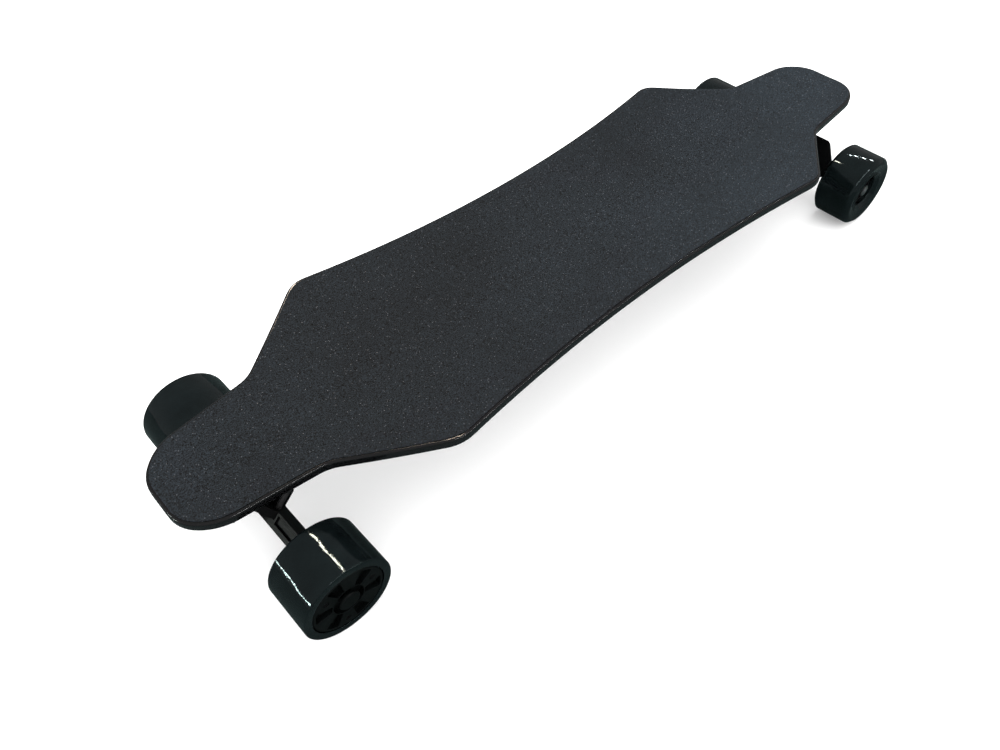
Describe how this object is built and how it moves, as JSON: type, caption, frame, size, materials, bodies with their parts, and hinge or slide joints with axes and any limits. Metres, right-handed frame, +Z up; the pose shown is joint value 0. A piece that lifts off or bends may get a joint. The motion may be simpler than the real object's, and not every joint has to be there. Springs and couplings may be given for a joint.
{
  "type": "electric skateboard",
  "caption": "Electric skateboard: concave grip-taped deck with narrow ends, reverse kingpin trucks, dished front wheels and rear hub-motor wheels, electronics cases under the deck.",
  "frame": {"origin": "ground plane under the middle of the deck", "axes": "+X forward (towards the free front wheels), +Y left, +Z up"},
  "size_m": [0.973, 0.2864, 0.137],
  "materials": {
    "deck_lacquer": "gloss black lacquer over maple",
    "grip": "coarse grit tape",
    "steel": "zinc plated",
    "rubber": "matte",
    "cast_black": "satin black powder coat over cast aluminium",
    "bushing_urethane": "satin urethane",
    "case_plastic": "fine texture",
    "cell_wrap": "shrink wrap",
    "board": "solder mask",
    "heat_sink_alloy": "black anodised",
    "light_lens": "translucent",
    "cable_rubber": "soft sheath",
    "lamination": "stacked sheets",
    "copper": "enamelled copper wire",
    "wheel_urethane": "gloss urethane",
    "core_plastic": "glass filled nylon",
    "motor_alloy": "anodised",
    "motor_cover": "satin dark grey coat"
  },
  "bodies": {
    "deck_body": {"deck": "deck_lacquer", "grip_tape": "grip", "deck_inserts": "steel", "riser_pads": "rubber", "front_baseplate": "cast_black", "rear_baseplate": "cast_black", "truck_bolts": "steel", "kingpins": "steel", "kingpin_nuts": "steel", "bushing_washers": "steel", "front_bushings": "bushing_urethane", "rear_bushings": "bushing_urethane", "pivot_cups": "bushing_urethane", "battery_case": "case_plastic", "controller_case": "case_plastic", "case_gaskets": "rubber", "case_screws": "steel", "battery_cells": "cell_wrap", "battery_board": "board", "heat_sink": "heat_sink_alloy", "controller_board": "board", "capacitors": "cell_wrap", "button_switch": "case_plastic", "status_light": "light_lens", "charge_socket": "case_plastic", "power_cable": "cable_rubber", "cable_glands": "rubber", "motor_cables": "cable_rubber"},
    "front_truck": {"front_hanger": "cast_black", "front_axle": "steel", "front_axle_nuts": "steel", "front_axle_washers": "steel", "front_axle_spacers": "steel"},
    "rear_truck": {"rear_hanger": "cast_black", "motor_shafts": "steel", "motor_stators": "lamination", "motor_windings": "copper"},
    "front_left_wheel": {"front_left_tyre": "wheel_urethane", "front_left_core": "core_plastic", "front_left_bearings": "steel"},
    "rear_left_wheel": {"rear_left_tyre": "wheel_urethane", "rear_left_can": "motor_alloy", "rear_left_magnets": "steel", "rear_left_outer_cover": "motor_cover", "rear_left_inner_cover": "motor_cover", "rear_left_cover_screws": "steel", "rear_left_bearings": "steel"},
    "front_right_wheel": {"front_right_tyre": "wheel_urethane", "front_right_core": "core_plastic", "front_right_bearings": "steel"},
    "rear_right_wheel": {"rear_right_tyre": "wheel_urethane", "rear_right_can": "motor_alloy", "rear_right_magnets": "steel", "rear_right_outer_cover": "motor_cover", "rear_right_inner_cover": "motor_cover", "rear_right_cover_screws": "steel", "rear_right_bearings": "steel"},
    "button_body": {"power_button": "case_plastic"},
    "cap_body": {"charge_cap": "rubber"}
  },
  "joints": [
    {"name": "front_truck_steer", "type": "hinge", "parent": "deck_body", "child": "front_truck", "pos_m": [0.40473, 0, 0.04797], "axis": [0.7071, 0, 0.7071], "range_deg": [-12, 12], "stiffness_Nm_per_rad": 14, "deforming": ["front_bushings"]},
    {"name": "rear_truck_steer", "type": "hinge", "parent": "deck_body", "child": "rear_truck", "pos_m": [-0.40473, 0, 0.04797], "axis": [-0.7071, 0, 0.7071], "range_deg": [-12, 12], "stiffness_Nm_per_rad": 14, "deforming": ["rear_bushings", "motor_cables"]},
    {"name": "front_left_spin", "type": "hinge", "parent": "front_truck", "child": "front_left_wheel", "pos_m": [0.4077, 0, 0.045], "axis": [0, 1, 0], "continuous": true},
    {"name": "front_right_spin", "type": "hinge", "parent": "front_truck", "child": "front_right_wheel", "pos_m": [0.4077, 0, 0.045], "axis": [0, 1, 0], "continuous": true},
    {"name": "rear_left_spin", "type": "hinge", "parent": "rear_truck", "child": "rear_left_wheel", "pos_m": [-0.4077, 0, 0.045], "axis": [0, 1, 0], "continuous": true},
    {"name": "rear_right_spin", "type": "hinge", "parent": "rear_truck", "child": "rear_right_wheel", "pos_m": [-0.4077, 0, 0.045], "axis": [0, 1, 0], "continuous": true},
    {"name": "power_button_press", "type": "slide", "parent": "deck_body", "child": "button_body", "axis": [0, 1, 0], "range_m": [0, 0.0012], "stiffness_N_per_m": 400, "springref_m": -0.0006},
    {"name": "charge_cap_flip", "type": "hinge", "parent": "deck_body", "child": "cap_body", "pos_m": [0.046, -0.062, 0.0974], "axis": [-1, 0, 0], "range_deg": [0, 100]}
  ]
}
